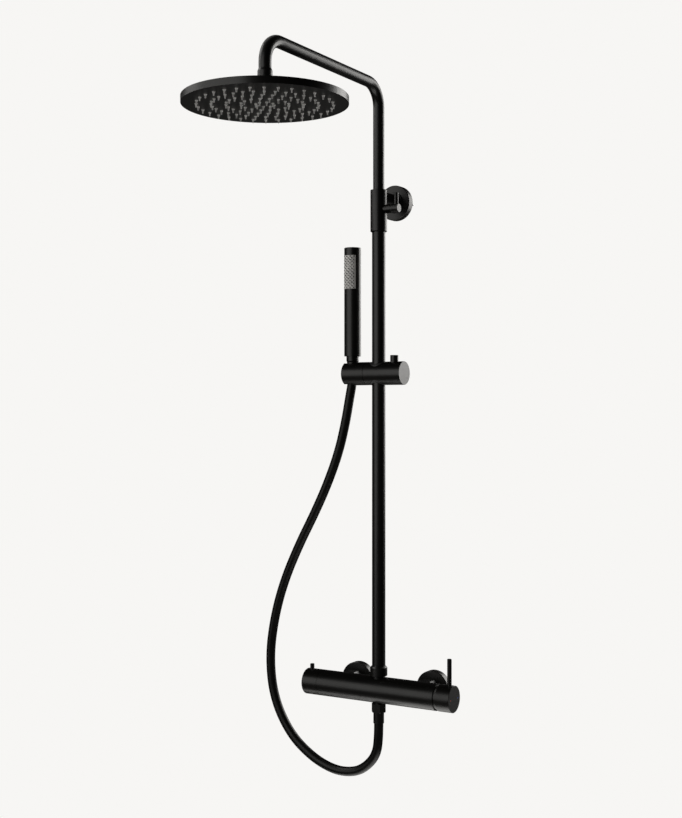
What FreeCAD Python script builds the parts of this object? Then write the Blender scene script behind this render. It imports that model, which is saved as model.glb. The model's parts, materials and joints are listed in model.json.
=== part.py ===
"""Rainfall shower column: a wall-hung mixer with diverter, a telescopic riser with a
swivelling arm and rain head, and a slider that holds a stick handset on a hose.

Millimetres. Origin on the finished wall, midway between the two inlets and level with
the mixer's axis. +X to the right as the user faces the wall, +Y into the wall, +Z up.
"""
import FreeCAD, Part
import math
import os
import re
import Sketcher

from FreeCAD import Base

Vec = Base.Vector
doc = FreeCAD.newDocument("ShowerColumn")

# ---------------------------------------------------------------- driving dimensions
SIZES = {
    # shared
    "axis_out": 67.0,          # column axis in front of the wall
    "fit": 0.05,               # running clearance on a radius
    "press": 0.02,             # clearance of a glued or pressed joint
    "edge": 0.4,               # small chamfer on a turned end
    "over": 1.0,               # how far a cutter runs past what it cuts
    # mixer
    "body_radius": 22.5,
    "body_half": 113.0,        # mixer body to each side of the column
    "end_half": 143.5,         # mixer with its cap and knob
    "core": 15.0,              # depth in the body where its necks are rooted
    "riser_neck": 11.0,
    "spigot_radius": 9.4,
    "spigot_top": 33.0,
    "waterway": 7.0,
    "cartridge_seat": 50.0,
    "cartridge_bore": 17.6,
    "ring_seat": 101.0,
    "ring_bore": 19.8,
    "diverter_seat": 62.0,
    "diverter_bore": 15.1,
    # mixing cartridge and lever
    "cartridge_radius": 17.5,
    "cartridge_nose": 14.0,
    "cartridge_end": 112.0,
    "carrier_seat": 88.0,
    "carrier_radius": 10.0,
    "carrier_end": 110.0,
    "fork_root": 96.0,
    "ring_lip": 20.4,          # ring nut's flange, seen in the gap
    "pivot_x": 105.0,          # tilt pivot of the mixing cartridge
    "pivot_radius": 1.5,
    "pivot_half": 8.5,
    "stem_half": 4.0,          # half of the square stem's width
    "stem_root": 98.0,
    "stem_end": 138.0,
    "cap_gap": 5.5,            # shadow gap that lets the lever cap tilt
    "cap_hollow": 128.0,
    "skirt": 1.3,              # wall of the hollow cap
    "lever_x": 134.8,
    "lever_radius": 3.75,
    "lever_root": 8.0,
    "lever_top": 66.0,
    "grub_radius": 2.0,
    "grub_low": 21.0,
    "dot_offset": 13.5,        # hot and cold dots from the cap's centre
    "dot_radius": 1.2,
    "dot_deep": 0.6,
    # diverter
    "valve_radius": 15.0,
    "valve_seat": 64.0,
    "valve_step": 107.0,
    "valve_nose": 10.0,
    "valve_bore": 90.0,
    "stem_radius": 4.0,
    "diverter_stem_end": 128.0,
    "knob_gap": 0.6,
    "knob_hollow": 119.0,
    "knob_wall": 2.5,
    "diverter_pin_root": 12.0,
    "diverter_pin_top": 31.0,
    # inlets
    "inlet_half": 75.0,        # half of the 150 mm between the inlets
    "tail_radius": 10.0,
    "tail_bore": 7.5,
    "tail_root": 55.0,
    "tail_end": 36.0,
    "tail_shoulder": 38.4,
    "shoulder_radius": 12.2,
    "union_face": 33.5,
    "union_radius": 13.2,
    "union_low": 4.0,
    "nut_flats": 36.0,
    "nut_back": 25.0,          # nut's wall side, in front of the wall
    "nut_front": 43.0,
    "nut_chamfer": 1.6,
    "inlet_thread": 10.48,     # G1/2 male, outer radius
    "inlet_depth": 14.0,       # thread that goes into the wall
    "valve_disc": 7.4,         # non-return valve in the tail
    "rosette_radius": 30.5,
    "rosette_deep": 13.3,
    "rosette_wall": 1.5,
    "rosette_gap": 0.4,
    "rosette_edge": 1.0,
    # outlet and hose
    "outlet_radius": 8.33,     # G3/8 male
    "outlet_bore": 4.5,
    "outlet_low": 27.5,
    "outlet_socket": 19.5,
    "outlet_root": 10.0,
    "socket_low": 24.0,
    "hose_nut_flats": 22.3,
    "hose_nut_top": 23.5,      # below the mixer's axis
    "hose_nut_low": 38.0,
    "hose_nut_step": 32.0,     # shoulder that the ferrule's collar hangs on
    "hose_nut_turn": 8.0,      # degrees
    "ferrule_radius": 9.2,
    "ferrule_neck": 6.0,
    "ferrule_collar": 8.0,
    "ferrule_bore": 4.0,
    "ferrule_low": 57.0,
    "seal_thick": 2.0,
    "hose_radius": 8.0,
    # riser and telescopic joint
    "collar_radius": 14.85,
    "collar_low": 24.5,
    "collar_top": 41.0,
    "collar_chamfer": 2.5,
    "riser_radius": 11.5,
    "riser_bore": 10.2,
    "riser_low": 34.55,
    "riser_top": 812.0,
    "sleeve_radius": 14.25,
    "sleeve_low": 785.0,
    "sleeve_top": 857.0,
    "sleeve_chamfer": 1.2,
    "sleeve_lip": 7.0,
    "guide_radius": 12.0,
    "bracket_z": 842.5,
    "standoff_radius": 14.0,
    "standoff_end": 5.0,
    "spigot_of_plate": 10.0,
    "plate_spigot_end": 30.0,
    "raised_radius": 17.8,     # raised collar of the bracket's rosette
    "raised_deep": 3.0,
    "plate_radius": 24.0,
    "plate_thick": 3.0,
    "screw_half": 17.0,        # wall screws to each side
    "screw_radius": 2.1,
    "shank_radius": 1.8,
    "screw_head": 4.2,
    "screw_head_low": 2.6,
    "screw_deep": 30.0,
    "screw_point": 6.0,
    "slot_half": 0.4,
    # lock of the telescopic joint
    "lock_z": 823.5,
    "lock_radius": 7.5,
    "lock_root": 5.0,
    "lock_boss_end": 24.5,
    "lock_gap": 0.3,
    "lock_end": 39.7,
    "lock_thread": 3.0,
    "lock_thread_end": 29.0,
    "pad_start": 8.0,
    "pad_end": 13.0,
    "pad_gap": 0.08,
    "lock_pin_x": 34.0,
    "lock_pin_root": 4.0,
    "lock_pin_top": 850.0,
    "lock_pin_radius": 3.9,
    # arm
    "arm_radius": 9.6,
    "arm_bore": 7.6,
    "arm_low": 560.0,
    "arm_z": 1035.8,
    "arm_bend": 38.0,
    "arm_reach": 344.0,        # from the column axis to the head's centre
    "arm_drop_end": 972.0,
    "seat_deep": 1.0,          # seat of the slide ring and the O-rings
    "seat_low": 2.5,
    "seat_top": 24.0,
    "slide_ring_low": 3.0,
    "slide_ring_top": 13.0,
    "o_ring_radius": 0.72,
    # ball joint and rain head
    "ball_z": 955.0,
    "ball_radius": 9.5,
    "ball_gap": 0.1,
    "ball_bore": 4.0,
    "seat_radius": 11.5,
    "seat_above": 2.5,         # seat's upper rim, below the ball's centre
    "seat_hole": 5.0,
    "neck_radius": 6.0,
    "head_collar_radius": 11.25,
    "head_collar_low": 13.0,
    "head_collar_top": 987.0,
    "head_collar_chamfer": 3.5,
    "nut_radius": 17.0,
    "nut_bore": 14.55,
    "boss_radius": 14.5,
    "boss_top": 0.4,
    "head_radius": 125.0,
    "head_low": 934.1,
    "head_top": 944.7,
    "head_wall": 1.5,
    "head_edge": 0.6,
    "mat_radius": 108.0,
    "mat_thick": 1.5,
    "nozzle_gap": 0.15,
    "nozzle_base": 2.5,
    "nozzle_tip": 1.15,
    "nozzle_tip_long": 2.6,
    "nozzle_long": 5.6,
    # slider
    "slider_z": 542.5,
    "slider_radius": 20.0,
    "slider_right": 50.0,
    "slider_cut": 25.0,        # half height of what is cut through the bar
    "holder_joint": 21.0,      # left of the column
    "bush_radius": 15.5,
    "bush_half": 18.0,
    "bush_groove": 0.8,        # shadow line round the bush
    "bush_seat": 8.0,          # half height of the bush's press fit
    "button_x": 30.5,
    "button_radius": 7.0,
    "button_top": 573.3,
    "button_low": 533.5,
    "button_bore_low": 526.5,
    "waist_low": 536.0,        # the button's waist, which frees the shoe
    "waist_high": 554.0,
    "waist_deep": 2.25,
    "waist_end": 556.5,
    "shoe_radius": 5.0,
    "shoe_start": 9.0,
    "shoe_gap": 0.06,
    "spring_wire": 0.4,
    "spring_pitch": 1.6,
    "spring_long": 4.8,
    "spring_drop": 6.2,        # spring's lower end, below the button
    # holder
    "holder_left": 64.0,
    "holder_gap": 0.8,
    "holder_bore": 9.1,
    "holder_mouth": 9.96,
    "holder_slot": 8.4,        # half width of the slot for the hose
    "axle_left": 39.0,
    "axle_right": 16.0,
    "washer_hole": 4.3,
    "washer_sunk": 3.0,
    # handset
    "handset_x": 52.0,         # left of the column
    "cone_low": 545.0,
    "cone_low_radius": 9.0,
    "cone_radius": 9.8,
    "cone_top": 562.6,
    "cone_collar": 565.0,
    "cone_collar_radius": 10.75,
    "cone_bore": 5.0,
    "spigot_of_nut": 7.95,
    "spigot_long": 13.0,
    "handset_radius": 14.5,
    "handset_wall": 1.5,
    "handset_low": 573.0,
    "base_top": 19.0,
    "handset_cap_low": 750.0,
    "handset_top": 761.0,
    "plug_deep": 4.0,
    "plate_low": 689.2,
    "plate_top": 747.7,
    "plate_half_angle": 54.5,
    "plate_sunk": 0.25,
    "plate_skin": 1.2,
}

sheet = doc.addObject("Spreadsheet::Sheet", "Sizes")
for row, (alias, value) in enumerate(SIZES.items(), start=1):
    sheet.set(f"A{row}", alias)
    sheet.set(f"B{row}", str(value))
    sheet.setAlias(f"B{row}", alias)
doc.recompute()

PARTS = []                     # finished sub-parts, one node each
WORD = re.compile(r"[a-z_]+")
SPARE_CELL = "D1"


def size(alias):
    """A driving dimension, read back from the sheet."""
    return float(sheet.get(alias))


def bound(expression):
    """An expression in which each dimension's name points into the sheet."""
    text = str(expression)
    return WORD.sub(lambda m: f"Sizes.{m.group()}" if m.group() in SIZES else m.group(), text)


def bind(thing, **expressions):
    """Bind an object's properties to the sheet."""
    for name, expression in expressions.items():
        thing.setExpression(name, bound(expression))


# ---------------------------------------------------------------- building blocks
COLUMN = "-axis_out"
SIDES = ("-inlet_half", "inlet_half")
TURNS = {
    "X": Base.Rotation(Vec(0, 1, 0), 90),
    "Y": Base.Rotation(Vec(1, 0, 0), -90),
    "Z": Base.Rotation(),
}


def place(thing, axis, start, centre):
    """Lay a primitive's own Z along a row axis, starting at start."""
    thing.Placement = Base.Placement(Vec(), TURNS[axis])
    where = {"X": (start, *centre), "Y": (centre[0], start, centre[1]), "Z": (*centre, start)}
    for letter, expression in zip("xyz", where[axis]):
        thing.setExpression(f"Placement.Base.{letter}", bound(expression))
    return thing


def rod(axis, start, end, radius, centre=("0", COLUMN)):
    """A cylinder along an axis. centre holds the two other coordinates in X, Y, Z order."""
    thing = doc.addObject("Part::Cylinder", "Rod")
    bind(thing, Radius=radius, Height=f"({end}) - ({start})")
    return place(thing, axis, start, centre)


def cone(axis, start, end, first, last, centre=("0", COLUMN)):
    """A cone whose radius goes from first at start to last at end."""
    thing = doc.addObject("Part::Cone", "Taper")
    bind(thing, Radius1=first, Radius2=last, Height=f"({end}) - ({start})")
    return place(thing, axis, start, centre)


def hexagon(axis, start, end, flats, centre=("0", COLUMN), turn=0.0):
    """A hexagonal bar, measured across its flats."""
    thing = doc.addObject("Part::Prism", "Hexagon")
    thing.Polygon = 6
    bind(thing, Circumradius=f"({flats}) / 2 / cos(30)", Height=f"({end}) - ({start})")
    place(thing, axis, start, centre)
    thing.Placement = Base.Placement(Vec(), TURNS[axis] * Base.Rotation(Vec(0, 0, 1), turn))
    return thing


def ball(radius, centre):
    thing = doc.addObject("Part::Sphere", "Ball")
    bind(thing, Radius=radius)
    for letter, expression in zip("xyz", centre):
        thing.setExpression(f"Placement.Base.{letter}", bound(expression))
    return thing


def block(low, high):
    """A box between two corners, each given by three expressions."""
    thing = doc.addObject("Part::Box", "Block")
    for name, letter, a, b in zip(("Length", "Width", "Height"), "xyz", low, high):
        thing.setExpression(name, bound(f"({b}) - ({a})"))
        thing.setExpression(f"Placement.Base.{letter}", bound(a))
    return thing


def joined(*shapes):
    if len(shapes) == 1:
        return shapes[0]
    thing = doc.addObject("Part::MultiFuse", "Joined")
    thing.Shapes = list(shapes)
    return thing


def less(base, *tools):
    thing = doc.addObject("Part::Cut", "Less")
    thing.Base = base
    thing.Tool = joined(*tools)
    return thing


def shared(first, second):
    thing = doc.addObject("Part::Common", "Shared")
    thing.Base = first
    thing.Tool = second
    return thing


def group(*shapes):
    """Separate solids that share one node."""
    thing = doc.addObject("Part::Compound", "Group")
    thing.Links = list(shapes)
    return thing


def part(label, thing):
    """Name a finished sub-part. Its label is its node's name."""
    thing.Label = label
    PARTS.append(thing)
    return thing


def pin(axis, start, end, radius, centre, edge="0.5"):
    """A rod with a small chamfer at its far end."""
    shoulder = f"({end}) - ({edge})"
    return joined(
        rod(axis, start, shoulder, radius, centre),
        cone(axis, shoulder, end, radius, f"({radius}) - ({edge})", centre),
    )


# ---------------------------------------------------------------- PartDesign helpers
def origin_plane(body, role):
    return next(f for f in body.Origin.OriginFeatures if f.Role == role)


def new_body(label, at=("0", "0", "0"), turn=None):
    body = doc.addObject("PartDesign::Body", "Body")
    if turn is not None:
        body.Placement = Base.Placement(Vec(), turn)
    for letter, expression in zip("xyz", at):
        body.setExpression(f"Placement.Base.{letter}", bound(expression))
    return part(label, body)


def new_sketch(body, plane="XY_Plane", lift=None):
    sketch = body.newObject("Sketcher::SketchObject", "Sketch")
    sketch.AttachmentSupport = (origin_plane(body, plane), [""])
    sketch.MapMode = "FlatFace"
    if lift is not None:
        sketch.setExpression("AttachmentOffset.Base.z", bound(lift))
    return sketch


def fix(sketch, kind, *args):
    """A dimension in a sketch whose last argument is an expression."""
    *geometry, expression = args
    index = sketch.addConstraint(Sketcher.Constraint(kind, *geometry, measure(expression)))
    sketch.setExpression(f"Constraints[{index}]", bound(expression))


def add_circle(sketch, radius, across="0", guess=10.0):
    """A circle on the sketch's horizontal axis, across from its origin."""
    away = across != "0"
    index = sketch.addGeometry(Part.Circle(Vec(guess if away else 0, 0, 0), Vec(0, 0, 1), 1.0))
    if away:
        sketch.addConstraint(Sketcher.Constraint("PointOnObject", index, 3, -1))
        fix(sketch, "DistanceX", -1, 1, index, 3, across)
    else:
        sketch.addConstraint(Sketcher.Constraint("Coincident", index, 3, -1, 1))
    fix(sketch, "Radius", index, radius)


def add_outline(sketch, points):
    """A closed outline. points holds pairs of positive expressions: across and up."""
    count = len(points)
    values = [tuple(measure(p) for p in pair) for pair in points]
    for i in range(count):
        a, b = values[i], values[(i + 1) % count]
        sketch.addGeometry(Part.LineSegment(Vec(*a, 0), Vec(*b, 0)))
    for i in range(count):
        sketch.addConstraint(Sketcher.Constraint("Coincident", i, 2, (i + 1) % count, 1))
    for i, (across, up) in enumerate(points):
        for kind, expression, value in (
            ("DistanceX", across, values[i][0]),
            ("DistanceY", up, values[i][1]),
        ):
            if value == 0:
                line = -2 if kind == "DistanceX" else -1
                sketch.addConstraint(Sketcher.Constraint("PointOnObject", i, 1, line))
            else:
                fix(sketch, kind, -1, 1, i, 1, expression)


def measure(expression):
    """The value that an expression has now, worked out in a spare cell of the sheet."""
    sheet.set(SPARE_CELL, f"={expression}")
    sheet.recompute()
    return float(sheet.get(SPARE_CELL))


def pad(body, sketch, length, turned=False):
    feature = body.newObject("PartDesign::Pad", "Pad")
    feature.Profile = sketch
    feature.Reversed = turned
    bind(feature, Length=length)
    return feature


def pocket(body, sketch, length, turned=False):
    feature = body.newObject("PartDesign::Pocket", "Pocket")
    feature.Profile = sketch
    feature.Reversed = turned
    bind(feature, Length=length)
    return feature


def turned_body(label, points, at, turn=None):
    """A body of revolution about its own Z. points are (radius, height) expressions."""
    body = new_body(label, at, turn)
    sketch = new_sketch(body, "XZ_Plane")
    add_outline(sketch, points)
    feature = body.newObject("PartDesign::Revolution", "Revolution")
    feature.Profile = sketch
    feature.ReferenceAxis = (sketch, ["V_Axis"])
    feature.Angle = 360
    return body


def ring_pattern(body, originals, count):
    """Repeat features round the body's own Z."""
    pattern = body.newObject("PartDesign::PolarPattern", "Ring")
    pattern.Originals = originals
    pattern.Axis = (origin_plane(body, "Z_Axis"), [""])
    pattern.Angle = 360
    pattern.Occurrences = count
    body.Tip = pattern
    return pattern


# ---------------------------------------------------------------- mixer
def make_mixer_body():
    axis = (COLUMN, "0")
    solids = [
        rod("X", "-body_half", "body_half", "body_radius", axis),
        rod("Z", "core", "collar_low", "riser_neck"),
        rod("Z", "core", "spigot_top", "spigot_radius"),
    ]
    hollows = [
        rod("X", "cartridge_seat", "body_half + over", "cartridge_bore", axis),
        rod("X", "ring_seat", "body_half + over", "ring_bore", axis),
        rod("X", "-body_half - over", "-diverter_seat", "diverter_bore", axis),
        rod("X", "-diverter_seat - over", "cartridge_seat + over", "waterway", axis),
        rod("Z", "0", "spigot_top + over", "waterway"),
        rod("Z", "-socket_low", "-outlet_socket", "outlet_radius + fit"),
        rod("Z", "-socket_low", "-outlet_root", "waterway"),
        rod("Z", "-socket_low", "0", "outlet_bore"),
    ]
    for side in SIDES:
        solids.append(rod("Y", "-tail_root", "-tail_end", "tail_radius", (side, "0")))
        solids.append(rod("Y", "-tail_shoulder", "-tail_end", "shoulder_radius", (side, "0")))
        hollows.append(rod("Y", "-tail_root", "-tail_end + over", "tail_bore", (side, "0")))
    part("mixer_body", less(joined(*solids), *hollows))


def make_inlets():
    for name, side in zip(("left", "right"), SIDES):
        at = (side, "0")
        shoulder = "inlet_depth - over"
        union = joined(
            rod("Y", "-union_face", "-union_low", "union_radius", at),
            rod("Y", "-union_low - over", shoulder, "inlet_thread", at),
            cone("Y", shoulder, "inlet_depth", "inlet_thread", "inlet_thread - over", at),
        )
        bore = rod("Y", "-union_face - over", "inlet_depth + over", "waterway", at)
        part(f"inlet_union_{name}", less(union, bore))

        flats = hexagon("Y", "-nut_front", "-nut_back", "nut_flats", at)
        corner = "nut_flats / 2 / cos(30)"
        small, large = f"{corner} - nut_chamfer", f"{corner} + waterway"
        middle = "-(nut_front + nut_back) / 2"
        rounded = joined(
            cone("Y", "-nut_front", middle, small, large, at),
            cone("Y", middle, "-nut_back", large, small, at),
        )
        part(f"union_nut_{name}", less(
            shared(flats, rounded),
            rod("Y", "-nut_front - over", "-nut_back + over", "tail_radius + nozzle_gap", at),
            rod("Y", "-tail_shoulder", "-nut_back + over", "union_radius + 2 * fit", at),
        ))
        turned_body(
            f"inlet_rosette_{name}",
            rosette_outline("union_radius + rosette_gap"),
            (side, "0", "0"),
            Base.Rotation(Vec(1, 0, 0), 90),
        )


def rosette_outline(hole, raised=()):
    """Section of a hollow wall rosette. raised holds what stands on its face."""
    return [
        *(raised or [(hole, "rosette_deep")]),
        ("rosette_radius - rosette_edge", "rosette_deep"),
        ("rosette_radius", "rosette_deep - rosette_edge"),
        ("rosette_radius", "0"),
        ("rosette_radius - rosette_wall", "0"),
        ("rosette_radius - rosette_wall", "rosette_deep - rosette_wall"),
        (hole, "rosette_deep - rosette_wall"),
    ]


def make_seals():
    def seal(axis, start, end, outer, inner, centre):
        return less(
            rod(axis, start, end, outer, centre),
            rod(axis, f"({start}) - over", f"({end}) + over", inner, centre),
        )

    column = ("0", COLUMN)
    part("flat_seals", group(
        *[seal("Y", "-tail_end", "-union_face", "shoulder_radius - 0.2", "tail_bore", (side, "0"))
          for side in SIDES],
        seal("Z", "-outlet_low - seal_thick", "-outlet_low", "ferrule_collar", "outlet_bore",
             column),
        seal("Z", "spigot_top", "spigot_top + 1.5", "spigot_radius", "waterway + 0.2", column),
    ))
    part("check_valves", group(*[
        less(
            rod("Y", "-48.5", "-37.5", "valve_disc", (side, "0")),
            rod("Y", "-45", "-37", "4.5", (side, "0")),
            rod("Y", "-49", "-44", "2", (side, "0")),
        )
        for side in SIDES
    ]))


def make_mixing_cartridge():
    axis = (COLUMN, "0")
    part("mixing_cartridge", less(
        joined(
            rod("X", "cartridge_seat + 2", "ring_seat", "cartridge_radius", axis),
            rod("X", "ring_seat - over", "cartridge_end", "cartridge_nose", axis),
        ),
        rod("X", "carrier_seat", "cartridge_end + over", "carrier_radius + fit", axis),
    ))
    part("cartridge_ring", less(
        joined(
            rod("X", "ring_seat + 2 * fit", "body_half", "ring_bore - fit", axis),
            rod("X", "body_half + press", "body_half + cap_gap - 2 * fit", "ring_lip", axis),
            rod("X", "body_half - over", "body_half + over", "ring_bore - fit", axis),
        ),
        rod("X", "ring_seat", "body_half + cap_gap", "cartridge_nose + 0.3", axis),
    ))
    half, clear = "pivot_half", "stem_half + 2 * fit"
    cross = rod("Y", f"{COLUMN} - {half}", f"{COLUMN} + {half}", "pivot_radius", ("pivot_x", "0"))
    fork = less(
        rod("X", "carrier_seat + 0.5", "carrier_end", "carrier_radius", axis),
        block(("fork_root", f"{COLUMN} - ({clear})", "-carrier_radius - over"),
              ("carrier_end + over", f"{COLUMN} + {clear}", "carrier_radius + over")),
    )
    part("cartridge_carrier", joined(fork, cross))
    part("cartridge_stem", less(
        block(("stem_root", f"{COLUMN} - stem_half", "-stem_half"),
              ("stem_end", f"{COLUMN} + stem_half", "stem_half")),
        rod("Y", f"{COLUMN} - stem_half - over", f"{COLUMN} + stem_half + over",
            "pivot_radius + fit", ("pivot_x", "0")),
    ))


def make_mixer_cap():
    axis = (COLUMN, "0")
    start = "body_half + cap_gap"
    lever_at = ("lever_x", COLUMN)
    cap = joined(
        rod("X", start, "end_half - edge", "body_radius", axis),
        cone("X", "end_half - edge", "end_half", "body_radius", "body_radius - edge", axis),
    )
    dots = [(f"{COLUMN} - dot_offset", "0"), (f"{COLUMN} + dot_offset", "0")]
    square = "stem_half + press"
    part("mixer_cap", less(
        cap,
        rod("X", f"{start} - over", "cap_hollow", "body_radius - skirt", axis),
        block(("cap_hollow - over", f"{COLUMN} - ({square})", f"-({square})"),
              ("stem_end + 2 * fit", f"{COLUMN} + {square}", square)),
        rod("Z", "lever_root", "body_radius + over", "lever_radius + press", lever_at),
        rod("Z", "-body_radius - over", "-3", "grub_radius + press", lever_at),
        *[rod("X", "end_half - dot_deep", "end_half + over", "dot_radius + press", dot)
          for dot in dots],
    ))
    for name, dot in zip(("hot_marker", "cold_marker"), dots):
        part(name, rod("X", "end_half - dot_deep + press", "end_half + fit", "dot_radius", dot))
    part("mixer_lever",
         pin("Z", "lever_root + 2 * fit", "lever_top", "lever_radius", lever_at, "edge"))
    part("cap_grub_screw", less(
        rod("Z", "-grub_low", "-stem_half - 2 * fit", "grub_radius", lever_at),
        hexagon("Z", "-grub_low - over", "-grub_low + 3", "grub_radius", lever_at),
    ))


def make_diverter():
    axis = (COLUMN, "0")
    pin_at = ("-lever_x", COLUMN)
    part("diverter_cartridge", less(
        joined(
            rod("X", "-valve_step", "-valve_seat", "valve_radius", axis),
            rod("X", "-cartridge_end", "-valve_step + over", "valve_nose", axis),
        ),
        rod("X", "-cartridge_end - over", "-valve_bore", "stem_radius + fit", axis),
    ))
    part("diverter_stem",
         rod("X", "-diverter_stem_end", "-valve_bore - over", "stem_radius", axis))
    knob = joined(
        rod("X", "-end_half + edge", "-body_half - knob_gap", "body_radius", axis),
        cone("X", "-end_half", "-end_half + edge", "body_radius - edge", "body_radius", axis),
    )
    part("diverter_knob", less(
        knob,
        rod("X", "-knob_hollow", "-body_half", "body_radius - knob_wall", axis),
        rod("X", "-diverter_stem_end - 2 * fit", "-knob_hollow + over", "stem_radius + press",
            axis),
        rod("Z", "diverter_pin_root", "body_radius + over", "lever_radius + press", pin_at),
    ))
    part("diverter_pin", pin(
        "Z", "diverter_pin_root + 2 * fit", "diverter_pin_top", "lever_radius", pin_at, "edge"))


# ---------------------------------------------------------------- outlet and hose
def make_outlet():
    low = "-hose_nut_low"
    part("outlet_nipple", less(
        joined(
            rod("Z", "-outlet_socket - 0.5", "-outlet_root - 0.2", "waterway - fit"),
            rod("Z", "-outlet_low", "-outlet_socket - 2 * fit", "outlet_radius"),
        ),
        rod("Z", "-outlet_low - over", "-outlet_root + over", "outlet_bore"),
    ))
    flats = hexagon("Z", low, "-hose_nut_top", "hose_nut_flats", turn=SIZES["hose_nut_turn"])
    corner = "hose_nut_flats / 2 / cos(30)"
    rounded = cone("Z", low, "-hose_nut_top", f"{corner} - nut_chamfer / 2", f"{corner} + 14")
    part("hose_hex_nut", less(
        shared(flats, rounded),
        rod("Z", "-hose_nut_step", "-hose_nut_top + over", "outlet_radius + fit"),
        rod("Z", f"{low} - over", "-hose_nut_step + over", "ferrule_neck + 0.2"),
    ))
    part("hose_ferrule", less(
        joined(
            rod("Z", "-ferrule_low", f"{low} - fit", "ferrule_radius"),
            rod("Z", f"{low} - over", "-hose_nut_step + over", "ferrule_neck"),
            rod("Z", "-hose_nut_step + 2 * fit", "-outlet_low - seal_thick - fit",
                "ferrule_collar"),
        ),
        rod("Z", "-ferrule_low + 3", "-outlet_low - over", "ferrule_bore"),
    ))


# The hose's route, as it hangs: (x, z) in the plane of the column, from the nut under
# the handset, down the left side, round under the mixer and up into the ferrule.
HOSE_ROUTE = [
    (-52, 545), (-52, 530), (-58, 501), (-66, 459), (-80, 406), (-103, 350), (-130, 297),
    (-163, 239), (-195, 172), (-216, 104), (-226, 33), (-217, -38), (-183, -98),
    (-136, -134), (-89, -151), (-50, -149), (-25, -136), (-5, -113), (0, -84), (0, -57),
]
ARC_SHARE = 0.45               # share of the shorter run that an arc may use
LEAST_BEND = 5                 # tightest bend, in radii of the hose


def rounded_path(points):
    """Straight runs joined by tangent arcs. Returns a wire and the arcs' radii."""
    edges, radii = [], []
    here = points[0]
    for before, corner, after in zip(points, points[1:], points[2:]):
        inward, outward = corner - before, after - corner
        turn = inward.getAngle(outward)
        reach = ARC_SHARE * min(inward.Length, outward.Length)
        radii.append(reach / math.tan(turn / 2))
        start = corner - inward * (reach / inward.Length)
        end = corner + outward * (reach / outward.Length)
        chord = (start + end) * 0.5
        towards = corner - chord
        sagitta = radii[-1] * (1 - math.cos(turn / 2))
        middle = chord + towards * (sagitta / towards.Length)
        edges.append(Part.LineSegment(here, start).toShape())
        edges.append(Part.Arc(start, middle, end).toShape())
        here = end
    edges.append(Part.LineSegment(here, points[-1]).toShape())
    return Part.Wire(edges), radii


def make_hose():
    points = [Vec(x, -size("axis_out"), z) for x, z in HOSE_ROUTE]
    path, radii = rounded_path(points)
    radius = size("hose_radius")
    if min(radii) < LEAST_BEND * radius:
        raise RuntimeError("the hose bends too tightly")
    start = Part.Wire(Part.Circle(points[0], points[1] - points[0], radius).toShape())
    hose = doc.addObject("Part::Feature", "Hose")
    hose.Shape = path.makePipeShell([start], True, False)
    part("hose", hose)
    print("hose length", round(path.Length, 1), "mm")


# ---------------------------------------------------------------- riser and bracket
def make_riser():
    chamfer = "collar_chamfer"
    part("riser_collar", less(
        joined(
            cone("Z", "collar_low", "collar_low + 0.5", "collar_radius - 0.5", "collar_radius"),
            rod("Z", "collar_low + 0.5", f"collar_top - {chamfer}", "collar_radius"),
            cone("Z", f"collar_top - {chamfer}", "collar_top", "collar_radius",
                 f"collar_radius - {chamfer}"),
        ),
        rod("Z", "collar_low - over", "spigot_top + over", "spigot_radius + fit"),
        rod("Z", "spigot_top", "collar_top + over", "riser_radius + fit"),
    ))
    body = new_body("riser_tube", ("0", COLUMN, "riser_low"))
    sketch = new_sketch(body)
    add_circle(sketch, "riser_radius")
    add_circle(sketch, "riser_bore")
    pad(body, sketch, "riser_top - riser_low")


def make_sleeve():
    at = (COLUMN, "lock_z")
    chamfer, lip = "sleeve_chamfer", "sleeve_top - sleeve_lip"
    sleeve = joined(
        cone("Z", "sleeve_low", f"sleeve_low + {chamfer}", f"sleeve_radius - {chamfer}",
             "sleeve_radius"),
        rod("Z", f"sleeve_low + {chamfer}", "sleeve_top - 0.3", "sleeve_radius"),
        cone("Z", "sleeve_top - 0.3", "sleeve_top", "sleeve_radius", "sleeve_radius - 0.3"),
        rod("X", "lock_root", "lock_boss_end", "lock_radius", at),
    )
    part("bracket_sleeve", less(
        sleeve,
        rod("Z", "sleeve_low - over", "riser_top + 2 * fit", "riser_radius + 0.03"),
        rod("Z", "riser_top", lip, "guide_radius + fit"),
        rod("Z", f"{lip} - over", "sleeve_top + over", "arm_radius + 2 * fit"),
        rod("X", "lock_root", "lock_boss_end + over", "lock_thread + fit", at),
    ))
    part("guide_bush", less(
        rod("Z", "riser_top + 0.2", f"{lip} - 2 * fit", "guide_radius"),
        rod("Z", "riser_top", "sleeve_top", "arm_radius + fit"),
        rod("X", "lock_root", "core", "lock_thread + fit", at),
    ))
    part("brake_pad", less(
        rod("X", "pad_start", "pad_end", "lock_thread - fit", at),
        rod("Z", "lock_z - pad_start", "lock_z + pad_start", "arm_radius + pad_gap"),
    ))
    part("lock_screw", rod("X", "pad_end + press", "lock_thread_end", "lock_thread", at))
    pin_at = ("lock_pin_x", COLUMN)
    part("lock_knob", less(
        joined(
            rod("X", "lock_boss_end + lock_gap", "lock_end - edge", "lock_radius", at),
            cone("X", "lock_end - edge", "lock_end", "lock_radius", "lock_radius - edge", at),
        ),
        rod("X", "lock_boss_end", "lock_thread_end + fit", "lock_thread + press", at),
        rod("Z", "lock_z - lock_pin_root - 2 * fit", "lock_z + lock_radius + 1.5",
            "lock_pin_radius + press", pin_at),
    ))
    part("lock_pin", pin("Z", "lock_z - lock_pin_root", "lock_pin_top", "lock_pin_radius",
                         pin_at, "edge"))


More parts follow.
